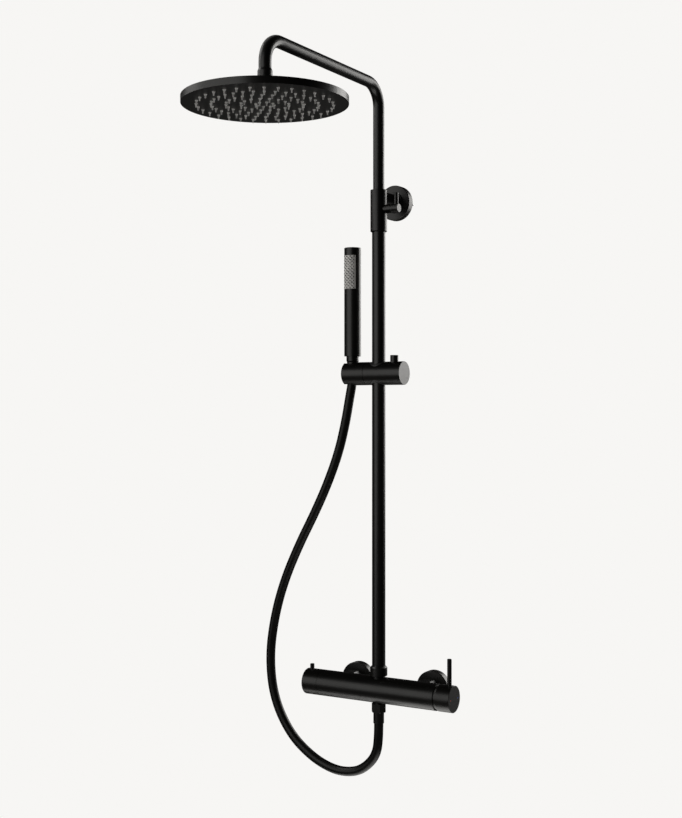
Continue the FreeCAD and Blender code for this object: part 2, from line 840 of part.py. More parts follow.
def make_bracket():
    level = ("0", "bracket_z")
    part("bracket_standoff", less(
        rod("Y", COLUMN, "-standoff_end", "standoff_radius", level),
        rod("Z", "bracket_z - slider_radius", "bracket_z + slider_radius",
            "sleeve_radius + press"),
        rod("Y", "-plate_spigot_end - 2", "-standoff_end + over", "spigot_of_plate + fit", level),
    ))
    hole, raised = "standoff_radius + 2 * fit", "rosette_deep + raised_deep"
    turned_body(
        "bracket_rosette",
        rosette_outline(hole, [
            (hole, raised),
            ("raised_radius - 0.5", raised),
            ("raised_radius", f"{raised} - 0.5"),
            ("raised_radius", "rosette_deep"),
        ]),
        ("0", "0", "bracket_z"),
        Base.Rotation(Vec(1, 0, 0), 90),
    )
    screws = [("screw_half", "bracket_z"), ("-screw_half", "bracket_z")]
    part("wall_plate", less(
        joined(
            rod("Y", "-plate_thick", "0", "plate_radius", level),
            rod("Y", "-plate_spigot_end", "-plate_thick + over", "spigot_of_plate", level),
        ),
        *[rod("Y", "-plate_thick - over", "over", "screw_radius + 0.5", at) for at in screws],
    ))
    part("wall_screws", group(*[wall_screw(at) for at in screws]))


def wall_screw(at):
    """A countersunk screw: thread in the wall, thinner shank in the plate, slotted head."""
    head, point = "-plate_thick", "screw_deep - screw_point"
    return less(
        joined(
            cone("Y", f"{head} - 2", f"{head} - press", "screw_head_low", "screw_head", at),
            rod("Y", f"{head} - 2 * fit", "over", "shank_radius", at),
            rod("Y", "0.3", point, "screw_radius", at),
            cone("Y", point, "screw_deep", "screw_radius", "0.3", at),
        ),
        block((f"({at[0]}) - slot_half", f"{head} - 3", "bracket_z - grub_radius"),
              (f"({at[0]}) + slot_half", f"{head} - over", "bracket_z + grub_radius")),
    )


# ---------------------------------------------------------------- arm and rain head
def make_arm():
    """One bent tube: up through the sleeve, out over the bather and down to the head."""
    body = new_body("shower_arm", ("0", COLUMN, "arm_low"))
    path = new_sketch(body, "YZ_Plane")
    bend, reach = size("arm_bend"), size("arm_reach")
    top = size("arm_z") - size("arm_low")
    drop = size("arm_drop_end") - size("arm_low")
    quarter, half = math.pi / 2, math.pi
    path.addGeometry([
        Part.LineSegment(Vec(0, 0, 0), Vec(0, top - bend, 0)),
        Part.ArcOfCircle(Part.Circle(Vec(-bend, top - bend, 0), Vec(0, 0, 1), bend), 0, quarter),
        Part.LineSegment(Vec(-bend, top, 0), Vec(bend - reach, top, 0)),
        Part.ArcOfCircle(
            Part.Circle(Vec(bend - reach, top - bend, 0), Vec(0, 0, 1), bend), quarter, half),
        Part.LineSegment(Vec(-reach, top - bend, 0), Vec(-reach, drop, 0)),
    ])
    for constraint in (
        ("Coincident", 0, 1, -1, 1), ("Vertical", 0), ("Vertical", 4), ("Horizontal", 2),
        ("Tangent", 0, 2, 1, 1), ("Tangent", 1, 2, 2, 1),
        ("Tangent", 2, 2, 3, 1), ("Tangent", 3, 2, 4, 1), ("Equal", 1, 3),
    ):
        path.addConstraint(Sketcher.Constraint(*constraint))
    fix(path, "Radius", 1, "arm_bend")
    fix(path, "DistanceY", -1, 1, 2, 1, "arm_z - arm_low")
    fix(path, "DistanceX", 4, 2, -1, 1, "arm_reach")
    fix(path, "DistanceY", -1, 1, 4, 2, "arm_drop_end - arm_low")
    profile = new_sketch(body)
    add_circle(profile, "arm_radius")
    add_circle(profile, "arm_bore")
    pipe = body.newObject("PartDesign::AdditivePipe", "Tube")
    pipe.Profile = profile
    pipe.Spine = (path, [f"Edge{i}" for i in range(1, 6)])
    # seat for the slide ring and the O-rings, behind a lip at the tube's lower end
    seat = new_sketch(body, "XZ_Plane")
    inner, outer = "arm_radius - seat_deep", "arm_radius + seat_deep"
    add_outline(seat, [
        (inner, "seat_low"), (outer, "seat_low"), (outer, "seat_top"), (inner, "seat_top"),
    ])
    groove = body.newObject("PartDesign::Groove", "Seat")
    groove.Profile = seat
    groove.ReferenceAxis = (seat, ["V_Axis"])
    groove.Angle = 360


def make_arm_guides():
    seat = "arm_radius - seat_deep"
    part("arm_slide_ring", less(
        rod("Z", "arm_low + slide_ring_low", "arm_low + slide_ring_top", "riser_bore - fit"),
        rod("Z", "arm_low", "arm_low + core", f"{seat} + fit"),
    ))
    rings = []
    for lift in ("17", "21"):
        ring = doc.addObject("Part::Torus", "Ring")
        bind(ring, Radius1=f"({seat} + riser_bore) / 2", Radius2="o_ring_radius")
        place(ring, "Z", f"arm_low + {lift}", ("0", COLUMN))
        rings.append(ring)
    part("arm_o_rings", group(*rings))


HEAD = ("0", f"{COLUMN} - arm_reach")
HEAD_BALL = (*HEAD, "ball_z")


def make_ball_joint():
    chamfer = "head_collar_top - head_collar_chamfer"
    part("ball_stem", less(
        joined(
            rod("Z", "ball_z + head_collar_low", chamfer, "head_collar_radius", HEAD),
            cone("Z", chamfer, "head_collar_top", "head_collar_radius", "arm_radius + 0.3", HEAD),
            rod("Z", "ball_z", "ball_z + head_collar_low + over", "neck_radius", HEAD),
            ball("ball_radius", HEAD_BALL),
        ),
        rod("Z", "arm_drop_end - fit", "head_collar_top + over", "arm_radius + 0.03", HEAD),
        rod("Z", "ball_z - seat_radius", "arm_drop_end + over", "ball_bore", HEAD),
    ))
    bowl = less(ball("seat_radius", HEAD_BALL), ball("ball_radius + ball_gap", HEAD_BALL))
    part("ball_seat", less(
        bowl,
        rod("Z", "ball_z - seat_above", "ball_z + seat_radius + over", "seat_radius + over", HEAD),
        rod("Z", "ball_z - seat_radius - over", "ball_z", "seat_hole", HEAD),
    ))
    top = "ball_z + seat_radius - 4.5"
    part("ball_nut", less(
        joined(
            rod("Z", "head_top + 4", top, "nut_radius", HEAD),
            cone("Z", top, f"{top} + over", "nut_radius", "nut_radius - over", HEAD),
        ),
        rod("Z", "head_top + 3", "ball_z + 0.5", "nut_bore", HEAD),
        ball("ball_radius + ball_gap", HEAD_BALL),
        cone("Z", "ball_z + 3.8", "ball_z + 8.1", "8.8", "13", HEAD),
    ))


NOZZLE_RINGS = [(14, 8), (36, 16), (58, 24), (80, 32), (102, 32)]     # radius and count


def make_head_shell():
    rim = "head_top - head_edge"
    shell = joined(
        rod("Z", "head_low", rim, "head_radius", HEAD),
        cone("Z", rim, "head_top", "head_radius", "head_radius - head_edge", HEAD),
        rod("Z", "head_top - over", "ball_z + boss_top", "boss_radius", HEAD),
    )
    part("head_shell", less(
        shell,
        rod("Z", "head_low - over", "head_top - head_wall", "head_radius - head_wall", HEAD),
        ball("seat_radius + ball_gap", HEAD_BALL),
        rod("Z", "ball_z - slider_radius", "ball_z - seat_hole", "seat_hole", HEAD),
    ))


def make_head_plate():
    body = new_body("head_plate", (*HEAD, "head_low"))
    disc = new_sketch(body)
    add_circle(disc, "head_radius - head_wall - 2 * fit")
    pad(body, disc, "head_wall")
    for radius, count in NOZZLE_RINGS:
        hole = new_sketch(body)
        add_circle(hole, "nozzle_base + nozzle_gap", across=str(radius), guess=radius)
        ring_pattern(body, [pocket(body, hole, "head_wall", turned=True)], count)


def make_nozzle_mat():
    """A silicone mat behind the face plate, with a nozzle through each of its holes."""
    body = new_body("nozzle_mat", (*HEAD, "head_low - nozzle_long"))
    disc = new_sketch(body, lift="nozzle_long + head_wall + 2 * fit")
    add_circle(disc, "mat_radius")
    pad(body, disc, "mat_thick")
    root = "nozzle_long + head_wall + 4 * fit"
    for radius, count in NOZZLE_RINGS:
        profile = new_sketch(body, "XZ_Plane")
        add_outline(profile, [
            (str(radius), "0"),
            (f"{radius} + nozzle_tip", "0"),
            (f"{radius} + nozzle_tip", "nozzle_tip_long"),
            (f"{radius} + nozzle_base", "nozzle_long"),
            (f"{radius} + nozzle_base", root),
            (str(radius), root),
        ])
        centre = Part.LineSegment(Vec(radius, 0, 0), Vec(radius, 1, 0))
        line = profile.addGeometry(centre, True)
        profile.addConstraint(Sketcher.Constraint("Vertical", line))
        fix(profile, "DistanceX", -1, 1, line, 1, str(radius))
        nozzle = body.newObject("PartDesign::Revolution", "Nozzle")
        nozzle.Profile = profile
        nozzle.ReferenceAxis = (profile, ["Axis0"])
        nozzle.Angle = 360
        ring_pattern(body, [nozzle], count)


# ---------------------------------------------------------------- slider and holder
BAR = (COLUMN, "slider_z")
BUTTON = ("button_x", COLUMN)
BAR_LOW, BAR_HIGH = "slider_z - slider_cut", "slider_z + slider_cut"


def make_slider():
    end = "slider_right - edge"
    bar = joined(
        rod("X", "-holder_joint", end, "slider_radius", BAR),
        cone("X", end, "slider_right", "slider_radius", "slider_radius - edge", BAR),
    )
    part("slider_body", less(
        bar,
        rod("Z", BAR_LOW, BAR_HIGH, "bush_radius + fit"),
        rod("Z", BAR_LOW, "slider_z - bush_seat", "bush_radius + bush_groove"),
        rod("Z", "slider_z + bush_seat", BAR_HIGH, "bush_radius + bush_groove"),
        rod("Z", "button_bore_low", BAR_HIGH, "button_radius + fit", BUTTON),
        rod("X", "shoe_start", "button_x", "shoe_radius + fit", BAR),
        rod("X", "-holder_joint - over", "-shoe_start", "stem_radius + 0.03", BAR),
    ))
    tube = less(
        rod("Z", BAR_LOW, BAR_HIGH, "bush_radius"),
        rod("Z", f"{BAR_LOW} - over", f"{BAR_HIGH} + over", "riser_radius + fit"),
        rod("X", "shoe_start", "bush_half", "shoe_radius + fit", BAR),
    )
    part("slider_bush", shared(tube, rod("X", "-bush_half", "bush_half", "slider_radius - fit",
                                         BAR)))
    waist = "button_radius - waist_deep"
    part("slider_button", joined(
        rod("Z", "button_low", "waist_low", "button_radius", BUTTON),
        cone("Z", "waist_low", "waist_high", "button_radius", waist, BUTTON),
        cone("Z", "waist_high", "waist_end", waist, "button_radius", BUTTON),
        pin("Z", "waist_end", "button_top", "button_radius", BUTTON),
    ))
    reach = "slider_z - 8", "slider_z + 8"
    part("brake_shoe", less(
        rod("X", "shoe_start", "button_x", "shoe_radius", BAR),
        rod("Z", *reach, "riser_radius + shoe_gap"),
        cone("Z", "waist_low", "waist_high", "button_radius + shoe_gap", f"{waist} + shoe_gap",
             BUTTON),
    ))


def make_button_spring():
    """A compression spring under the button, in the blind end of its bore."""
    helix = doc.addObject("Part::Helix", "Coils")
    bind(helix, Radius="button_radius - 2", Pitch="spring_pitch", Height="spring_long")
    wire = doc.addObject("Part::Circle", "Wire")
    bind(wire, **{"Radius": "spring_wire", "Placement.Base.x": "button_radius - 2"})
    wire.Placement.Rotation = Base.Rotation(Vec(1, 0, 0), 90)
    coil = doc.addObject("Part::Sweep", "Spring")
    coil.Sections = [wire]
    coil.Spine = (helix, [])
    coil.Solid = True
    coil.Frenet = True
    bind(coil, **{
        "Placement.Base.x": "button_x", "Placement.Base.y": COLUMN,
        "Placement.Base.z": "button_low - spring_drop",
    })
    part("button_spring", coil)


def make_holder():
    hole = ("-handset_x", COLUMN)
    start = "-holder_left + edge"
    head = joined(
        cone("X", "-holder_left", start, "slider_radius - edge", "slider_radius", BAR),
        rod("X", start, "-holder_joint - holder_gap", "slider_radius", BAR),
    )
    part("holder_head", less(
        head,
        cone("Z", "cone_low", "slider_z + slider_radius + over", "holder_bore", "holder_mouth",
             hole),
        rod("Z", BAR_LOW, "cone_low + 2 * fit", "holder_bore", hole),
        block(("-holder_left - over", f"{COLUMN} - holder_slot", BAR_LOW),
              ("-handset_x", f"{COLUMN} + holder_slot", BAR_HIGH)),
        rod("X", "-axle_left - over", "-holder_joint", "stem_radius + fit", BAR),
    ))
    part("holder_axle", rod("X", "-axle_left", "-axle_right", "stem_radius", BAR))
    part("friction_washer", less(
        rod("X", "-holder_joint - holder_gap + fit", "-holder_joint - fit",
            "slider_radius - washer_sunk", BAR),
        rod("X", "-holder_joint - 2", "-holder_joint + 2", "washer_hole", BAR),
    ))
    part("hose_cone_nut", less(
        joined(
            cone("Z", "cone_low + fit", "cone_top", "cone_low_radius", "cone_radius", hole),
            cone("Z", "cone_top", "cone_collar", "cone_radius", "cone_collar_radius", hole),
            rod("Z", "cone_collar", "handset_low - 0.2", "cone_collar_radius", hole),
            rod("Z", "handset_low - over", "handset_low + spigot_long", "spigot_of_nut", hole),
        ),
        rod("Z", "cone_low + 3", "handset_low + spigot_long + over", "cone_bore", hole),
    ))


# ---------------------------------------------------------------- handset
STICK = ("-handset_x", COLUMN)


def sector(start, end, radius, half_angle):
    """A wedge of a cylinder round the handset's axis, opening to the front."""
    thing = rod("Z", start, end, radius, STICK)
    thing.setExpression("Angle", bound(f"2 * ({half_angle})"))
    turn = Base.Rotation(Vec(0, 0, 1), -90 - measure(half_angle))
    thing.Placement = Base.Placement(thing.Placement.Base, turn)
    return thing


def make_handset():
    bore = "handset_radius - handset_wall"
    part("handset_base", less(
        rod("Z", "handset_low + 0.3", "handset_low + base_top", f"{bore} - 0.03", STICK),
        rod("Z", "handset_low", "handset_low + spigot_long + 0.2", "spigot_of_nut + fit", STICK),
        rod("Z", "handset_low", "handset_low + base_top + over", "cone_bore", STICK),
    ))
    part("handset_tube", less(
        rod("Z", "handset_low", "handset_cap_low - 2 * fit", "handset_radius", STICK),
        rod("Z", "handset_low - over", "handset_cap_low + over", bore, STICK),
        sector("plate_low", "plate_top", "handset_radius + 2", "plate_half_angle + 0.3"),
    ))
    rim = "handset_top - head_edge"
    part("handset_cap", joined(
        rod("Z", "handset_cap_low - plug_deep", "handset_cap_low + over", f"{bore} - 0.2", STICK),
        rod("Z", "handset_cap_low", rim, "handset_radius", STICK),
        cone("Z", rim, "handset_top", "handset_radius", "handset_radius - head_edge", STICK),
    ))


PLATE_ROWS = 10
PLATE_COLUMNS = 7
PLATE_PITCH = 6.0
PLATE_STEP = 12.0              # degrees between columns
PLATE_NOZZLE = (1.15, 0.6, 2.2)            # root radius, tip radius, length
NOZZLE_SUNK = 0.6              # how far a nozzle's root lies in the skin


def arched_skin(centre, outer, inner, half_angle, height):
    """A strip of a tube's wall that faces the front, standing on centre."""
    def on_arc(radius, angle):
        turn = math.radians(-90 + angle)
        return centre + Vec(radius * math.cos(turn), radius * math.sin(turn), 0)

    def arc(radius, first, last):
        ends = on_arc(radius, first), on_arc(radius, last)
        return Part.Arc(ends[0], on_arc(radius, 0), ends[1]).toShape()

    def side(angle, first, last):
        return Part.LineSegment(on_arc(first, angle), on_arc(last, angle)).toShape()

    outline = Part.Wire([
        arc(outer, -half_angle, half_angle), side(half_angle, outer, inner),
        arc(inner, half_angle, -half_angle), side(-half_angle, inner, outer),
    ])
    return Part.Face(outline).extrude(Vec(0, 0, height))


def make_handset_plate():
    """A curved silicone plate with staggered nozzles, set in the front of the tube."""
    centre = Vec(-size("handset_x"), -size("axis_out"), 0)
    outer = size("handset_radius") - size("plate_sunk")
    inner = outer - size("plate_skin")
    gap = 2 * size("fit")
    low, high = size("plate_low") + gap, size("plate_top") - gap
    skin = arched_skin(
        centre + Vec(0, 0, low), outer, inner, size("plate_half_angle"), high - low)
    nozzles = []
    for column in range(PLATE_COLUMNS):
        angle = math.radians(-90 + (column - (PLATE_COLUMNS - 1) / 2) * PLATE_STEP)
        out = Vec(math.cos(angle), math.sin(angle), 0)
        rows = PLATE_ROWS - column % 2         # every other column is staggered
        for number in range(rows):
            height = (low + high) / 2 + (number - (rows - 1) / 2) * PLATE_PITCH
            root = centre + out * (outer - NOZZLE_SUNK) + Vec(0, 0, height)
            nozzles.append(Part.makeCone(*PLATE_NOZZLE, root, out))
    plate = doc.addObject("Part::Feature", "Plate")
    plate.Shape = skin.multiFuse(nozzles)
    part("handset_plate", plate)


# ---------------------------------------------------------------- build, test, write
for make in (
    make_mixer_body, make_inlets, make_seals, make_mixing_cartridge, make_mixer_cap,
    make_diverter, make_outlet, make_hose, make_riser, make_sleeve, make_bracket, make_arm,
    make_arm_guides, make_ball_joint, make_head_shell, make_head_plate, make_nozzle_mat,
    make_slider, make_button_spring, make_holder, make_handset, make_handset_plate,
):
    make()
doc.recompute()

for thing in doc.Objects:
    if "Invalid" in thing.State or "Error" in thing.State:
        raise RuntimeError(f"{thing.Label} ({thing.Name}) failed: {thing.State}")

os.makedirs("parts", exist_ok=True)
labels = [thing.Label for thing in PARTS]
if len(set(labels)) != len(labels):
    raise RuntimeError("two sub-parts share a label")
for thing in PARTS:
    shape = thing.Shape
    if shape.isNull() or not shape.isValid() or not shape.Solids:
        raise RuntimeError(f"{thing.Label} has no valid solid")
    shape.exportStep(f"parts/{thing.Label}.step")
print(len(PARTS), "sub-parts written")
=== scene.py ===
"""A matte black shower column: finishes, fine detail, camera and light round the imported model.

Metres, in the row frame: X right, Y into the wall, Z up, origin on the wall midway between
the inlets. The column's axis is at x = 0, y = COLUMN_Y.
"""
import json
import math

import bmesh
import bpy
from mathutils import Matrix, Vector


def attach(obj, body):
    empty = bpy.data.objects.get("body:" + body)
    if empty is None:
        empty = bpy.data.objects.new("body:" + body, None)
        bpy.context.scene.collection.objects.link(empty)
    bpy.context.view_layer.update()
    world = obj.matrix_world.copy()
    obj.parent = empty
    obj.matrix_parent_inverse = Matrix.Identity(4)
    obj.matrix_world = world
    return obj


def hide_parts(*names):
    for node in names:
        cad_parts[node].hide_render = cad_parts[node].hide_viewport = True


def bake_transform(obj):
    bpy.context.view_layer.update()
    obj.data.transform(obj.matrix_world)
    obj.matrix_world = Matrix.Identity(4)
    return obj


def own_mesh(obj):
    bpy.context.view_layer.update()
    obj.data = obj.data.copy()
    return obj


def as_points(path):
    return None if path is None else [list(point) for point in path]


MM = 0.001
COLUMN_Y = -0.067
HEAD_Y = -0.411                # the rain head's centre
HEAD_LOW = 0.9341              # underside of its face plate
HANDSET_X = -0.052

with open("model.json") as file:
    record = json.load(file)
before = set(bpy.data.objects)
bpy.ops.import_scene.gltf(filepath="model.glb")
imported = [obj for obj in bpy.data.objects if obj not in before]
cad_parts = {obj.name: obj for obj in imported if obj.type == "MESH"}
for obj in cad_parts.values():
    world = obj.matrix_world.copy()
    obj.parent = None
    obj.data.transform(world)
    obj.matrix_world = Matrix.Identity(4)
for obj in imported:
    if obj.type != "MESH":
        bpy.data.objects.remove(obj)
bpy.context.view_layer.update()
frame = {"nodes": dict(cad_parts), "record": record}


# ---------------------------------------------------------------- shader helpers
class Shader:
    """A material's node tree, with short calls to add and join nodes."""

    def __init__(self, name):
        self.material = bpy.data.materials.new(name)
        self.material.use_nodes = True
        self.tree = self.material.node_tree
        self.tree.nodes.clear()
        self.out = self.add("ShaderNodeOutputMaterial")
        self.bsdf = self.add("ShaderNodeBsdfPrincipled")
        self.join(self.bsdf, "BSDF", self.out, "Surface")
        self.coords = self.add("ShaderNodeTexCoord")

    def add(self, kind, **settings):
        node = self.tree.nodes.new(kind)
        for name, value in settings.items():
            setattr(node, name, value)
        return node

    def join(self, a, out, b, into):
        self.tree.links.new(a.outputs[out], b.inputs[into])

    def fixed(self, **sockets):
        """Constants, straight on the shader's own sockets."""
        for name, value in sockets.items():
            self.bsdf.inputs[name.replace("_", " ")].default_value = value

    def stretched(self, scale):
        """Object coordinates, scaled along each axis."""
        mapping = self.add("ShaderNodeMapping")
        mapping.inputs["Scale"].default_value = scale
        self.join(self.coords, "Object", mapping, "Vector")
        return mapping

    def noise(self, scale, detail=2.0, rough=0.5, source=None):
        node = self.add("ShaderNodeTexNoise")
        node.inputs["Scale"].default_value = scale
        node.inputs["Detail"].default_value = detail
        node.inputs["Roughness"].default_value = rough
        if source is None:
            self.join(self.coords, "Object", node, "Vector")
        else:
            self.join(source, "Vector", node, "Vector")
        return node

    def spread(self, source, out, low, high, start=0.3, end=0.7):
        """Map a value that runs from start to end onto low to high."""
        node = self.add("ShaderNodeMapRange")
        for name, value in (
            ("From Min", start), ("From Max", end), ("To Min", low), ("To Max", high),
        ):
            node.inputs[name].default_value = value
        self.join(source, out, node, "Value")
        return node

    def blend(self, factor, out, first, second):
        """A colour between two others."""
        node = self.add("ShaderNodeMix", data_type="RGBA")
        node.inputs["A"].default_value = (*first, 1.0)
        node.inputs["B"].default_value = (*second, 1.0)
        self.tree.links.new(factor.outputs[out], node.inputs[0])
        return node

    def colour(self, node, out="Result"):
        sockets = [s for s in node.outputs if s.name == out and s.enabled]
        self.tree.links.new(sockets[-1], self.bsdf.inputs["Base Color"])

    def bump(self, layers):
        """Stack bumps: (node, output, strength, depth in metres), coarse first."""
        last = None
        for node, out, strength, depth in layers:
            bump = self.add("ShaderNodeBump")
            bump.inputs["Strength"].default_value = strength
            bump.inputs["Distance"].default_value = depth
            self.join(node, out, bump, "Height")
            if last is not None:
                self.join(last, "Normal", bump, "Normal")
            last = bump
        self.join(last, "Normal", self.bsdf, "Normal")

    def edges(self, radius, gain):
        """1 along sharp edges, 0 on flats and gentle curves."""
        rounded = self.add("ShaderNodeBevel", samples=4)
        rounded.inputs["Radius"].default_value = radius
        true = self.add("ShaderNodeNewGeometry")
        dot = self.add("ShaderNodeVectorMath", operation="DOT_PRODUCT")
        self.join(rounded, "Normal", dot, 0)
        self.join(true, "Normal", dot, 1)
        return self.spread(dot, "Value", 1.0, 0.0, 1.0 - gain, 1.0)


def coated_metal(name, colour, rubbed, rough, grain):
    """Powder coat: fine grain, roughness that drifts, edges rubbed a little smoother."""
    s = Shader(name)
    drift = s.noise(11.0, 4.0, 0.55)
    fine = s.noise(grain, 1.0)
    orange_peel = s.noise(grain / 5.0, 2.0)
    edge = s.edges(0.0007, 0.25)
    broken = s.add("ShaderNodeMath", operation="MULTIPLY")
    s.join(edge, "Result", broken, 0)
    s.join(s.spread(s.noise(160.0, 3.0), "Fac", 0.15, 1.0), "Result", broken, 1)
    s.colour(s.blend(broken, "Value", colour, rubbed))
    rough_drift = s.spread(drift, "Fac", rough - 0.035, rough + 0.035)
    worn = s.add("ShaderNodeMath", operation="MULTIPLY_ADD")
    s.join(broken, "Value", worn, 0)
    worn.inputs[1].default_value = -0.10
    s.join(rough_drift, "Result", worn, 2)
    s.join(worn, "Value", s.bsdf, "Roughness")
    s.bump([(orange_peel, "Fac", 0.10, 0.00012), (fine, "Fac", 0.16, 0.00003)])
    s.fixed(IOR=1.5)
    return s.material


def smooth_hose(name, colour, rough):
    """A smooth plastic skin over a woven core that just shows through."""
    s = Shader(name)
    drift = s.noise(24.0, 3.0)
    weave = s.noise(420.0, 2.0, source=s.stretched((1.0, 1.0, 0.35)))
    s.colour(s.blend(s.spread(drift, "Fac", 0.0, 1.0), "Result", colour,
                     tuple(1.35 * c for c in colour)))
    s.join(s.spread(drift, "Fac", rough - 0.04, rough + 0.04), "Result", s.bsdf, "Roughness")
    s.bump([(weave, "Fac", 0.08, 0.00015)])
    s.fixed(IOR=1.36)
    return s.material


def moulded(name, colour, rough, speck, mottle=0.12, sheen=0.0, coat=0.0):
    """Moulded plastic, rubber or silicone."""
    s = Shader(name)
    cloud = s.noise(70.0, 4.0, 0.6)
    fine = s.noise(speck, 2.0)
    s.colour(s.blend(s.spread(cloud, "Fac", 0.0, 1.0), "Result",
                     tuple(c * (1.0 - mottle) for c in colour),
                     tuple(min(1.0, c * (1.0 + mottle)) for c in colour)))
    s.join(s.spread(cloud, "Fac", rough - 0.06, rough + 0.06), "Result", s.bsdf, "Roughness")
    s.bump([(cloud, "Fac", 0.05, 0.0003), (fine, "Fac", 0.15, 0.00004)])
    s.fixed(Sheen_Weight=sheen, Coat_Weight=coat)
    return s.material


def bare_metal(name, colour, dark, rough, lay):
    """Machined or drawn metal. lay stretches the tool marks along an axis."""
    s = Shader(name)
    marks = s.noise(900.0, 3.0, 0.7, source=s.stretched(lay))
    stain = s.noise(45.0, 5.0, 0.6)
    s.colour(s.blend(s.spread(stain, "Fac", 0.0, 1.0), "Result", colour, dark))
    s.join(s.spread(marks, "Fac", rough - 0.08, rough + 0.10), "Result", s.bsdf, "Roughness")
    s.bump([(marks, "Fac", 0.22, 0.00003)])
    s.fixed(Metallic=1.0)
    return s.material


FINISH = {
    "matte_black": coated_metal("matte_black_coat", (0.0060, 0.0056, 0.0050),
                                (0.026, 0.025, 0.023), 0.345, 1700.0),
    "hose_black": smooth_hose("hose_skin", (0.0050, 0.0048, 0.0042), 0.36),
    "grey_silicone": moulded("grey_silicone_skin", (0.80, 0.79, 0.77), 0.42, 900.0, sheen=0.15),
    "raw_brass": bare_metal("turned_brass", (0.74, 0.56, 0.29), (0.52, 0.36, 0.17), 0.30,
                            (0.2, 3.0, 0.2)),
    "steel": bare_metal("zinc_steel", (0.60, 0.61, 0.63), (0.40, 0.41, 0.43), 0.34,
                        (0.3, 2.0, 0.3)),
    "black_plastic": moulded("black_acetal", (0.020, 0.020, 0.021), 0.38, 1200.0),
    "white_plastic": moulded("white_acetal", (0.78, 0.78, 0.75), 0.36, 1200.0, mottle=0.04),
    "black_rubber": moulded("black_nitrile", (0.018, 0.018, 0.018), 0.62, 700.0),
    "red_dot": moulded("red_enamel", (0.62, 0.04, 0.02), 0.25, 1500.0, coat=0.6),
    "blue_dot": moulded("blue_enamel", (0.03, 0.10, 0.55), 0.25, 1500.0, coat=0.6),
}
SLOT_OF = {s["node"]: s["material_slot"] for s in frame["record"]["subparts"]}
for node, thing in frame["nodes"].items():
    for slot in thing.material_slots:
        slot.material = FINISH[SLOT_OF[node]]


# ---------------------------------------------------------------- mesh helpers
def finished(name, mesh_builder, slot, body, *nodes):
    """Turn a bmesh into a piece that rides on a body and stands for CAD nodes."""
    mesh = bpy.data.meshes.new(name)
    bmesh.ops.recalc_face_normals(mesh_builder, faces=mesh_builder.faces)
    mesh_builder.to_mesh(mesh)
    mesh_builder.free()
    mesh.materials.append(FINISH[slot])
    piece = bpy.data.objects.new(name, mesh)
    bpy.context.scene.collection.objects.link(piece)
    smooth(piece, 35.0)
    if nodes:
        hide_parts(*nodes)
    if body is not None:
        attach(piece, body)
    return piece


def smooth(piece, angle):
    """Smooth shading, kept sharp where faces meet at more than the angle."""
    mesh = piece.data
    mesh.shade_smooth()
    mesh.set_sharp_from_angle(angle=math.radians(angle))


def lathe(build, profile, steps, matrix):
    """Add a closed body of revolution. profile runs from axis to axis: (radius, height)."""
    rings = []
    for radius, height in profile:
        if radius < 1e-9:
            rings.append([build.verts.new(matrix @ Vector((0, 0, height)))])
            continue
        turns = (2 * math.pi * k / steps for k in range(steps))
        rings.append([
            build.verts.new(matrix @ Vector((radius * math.cos(t), radius * math.sin(t), height)))
            for t in turns
        ])
    for a, b in zip(rings, rings[1:]):
        for k in range(steps):
            n = (k + 1) % steps
            corners = [a[k % len(a)], a[n % len(a)], b[n % len(b)], b[k % len(b)]]
            face = list(dict.fromkeys(corners))
            if len(face) > 2:
                build.faces.new(face)


def at(x, y, z):
    return Matrix.Translation((x, y, z))


# ---------------------------------------------------------------- hose
HOSE_ROUTE = [
    (-52, 545), (-52, 530), (-58, 501), (-66, 459), (-80, 406), (-103, 350), (-130, 297),
    (-163, 239), (-195, 172), (-216, 104), (-226, 33), (-217, -38), (-183, -98),
    (-136, -134), (-89, -151), (-50, -149), (-25, -136), (-5, -113), (0, -84), (0, -57),
]
HOSE_RADIUS = 0.008
HOSE_SIDES = 32

route = bpy.data.curves.new("hose_route", "CURVE")
route.dimensions = "3D"
route.resolution_u = 24
spline = route.splines.new("NURBS")
spline.points.add(len(HOSE_ROUTE) - 1)
for point, (x, z) in zip(spline.points, HOSE_ROUTE):
    point.co = (x * MM, COLUMN_Y, z * MM, 1.0)
spline.order_u = 3
spline.use_endpoint_u = True
bare = bpy.data.objects.new("bare_route", route)
line_mesh = bpy.data.meshes.new_from_object(bare)
hose_line = [v.co.copy() for v in line_mesh.vertices]
bpy.data.meshes.remove(line_mesh)
bpy.data.objects.remove(bare)


def tube(build, first, last, radius, steps):
    """Add a closed tube round the hose line from one of its points to another."""
    side = Vector((0, 1, 0))
    rings = []
    for k in range(first, last + 1):
        along = hose_line[min(k + 1, len(hose_line) - 1)] - hose_line[max(k - 1, 0)]
        across = along.normalized().cross(side)
        rings.append([
            build.verts.new(
                hose_line[k] + radius * (math.cos(t) * across + math.sin(t) * side))
            for t in (2 * math.pi * n / steps for n in range(steps))
        ])
    for a, b in zip(rings, rings[1:]):
        for k in range(steps):
            n = (k + 1) % steps
            build.faces.new((a[k], a[n], b[n], b[k]))
    build.faces.new(rings[0][::-1])
    build.faces.new(rings[-1])


def hose_piece(name, first, last, start, end, bodies, *nodes):
    """A length of the hose from one point of the hose line to another, on no body. start, end and
    bodies are not used.
    """
    build = bmesh.new()
    tube(build, first, last, HOSE_RADIUS, HOSE_SIDES)
    piece = finished(name, build, "hose_black", None, *nodes)
    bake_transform(piece)
    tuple(start)
    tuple(end)
    return piece


def below(height):
    """The first point of the hose line that hangs below a height."""
    return next(k for k, p in enumerate(hose_line) if p.z < height)


